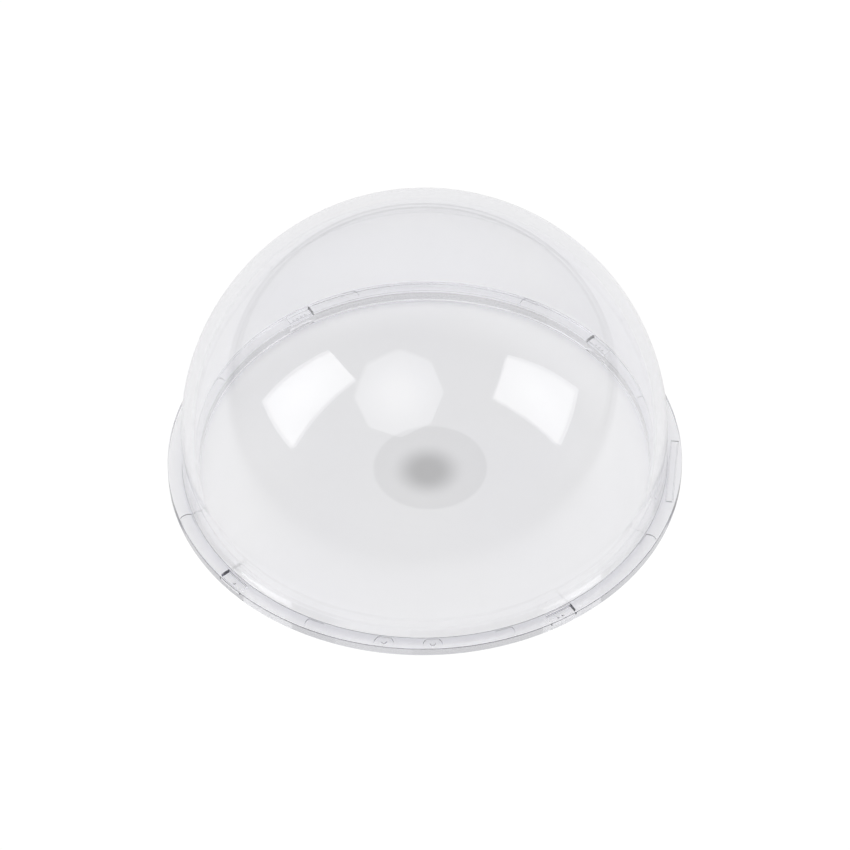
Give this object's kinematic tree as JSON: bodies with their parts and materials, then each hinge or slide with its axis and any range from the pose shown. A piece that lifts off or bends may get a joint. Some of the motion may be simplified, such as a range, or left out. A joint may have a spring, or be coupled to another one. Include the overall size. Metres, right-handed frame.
{
  "type": "dome camera cover",
  "caption": "Clear hollow dome on a short straight skirt with a narrow flat flange, the see-through cover that shields a dome camera's lens.",
  "frame": {"origin": "centre of the flange's underside, on the plane that the cover stands on", "axes": "+Z is the dome's axis, from the open mouth to the top of the dome; the round mould stamp is at -Y, the front, and the blank plate insert is near +X"},
  "size_m": [0.1102, 0.1102, 0.062],
  "materials": {
    "clear_polycarbonate": "optically clear injection-moulded polycarbonate, polished inside and out"
  },
  "bodies": {
    "root": {"dome_cover": "clear_polycarbonate"}
  },
  "joints": []
}
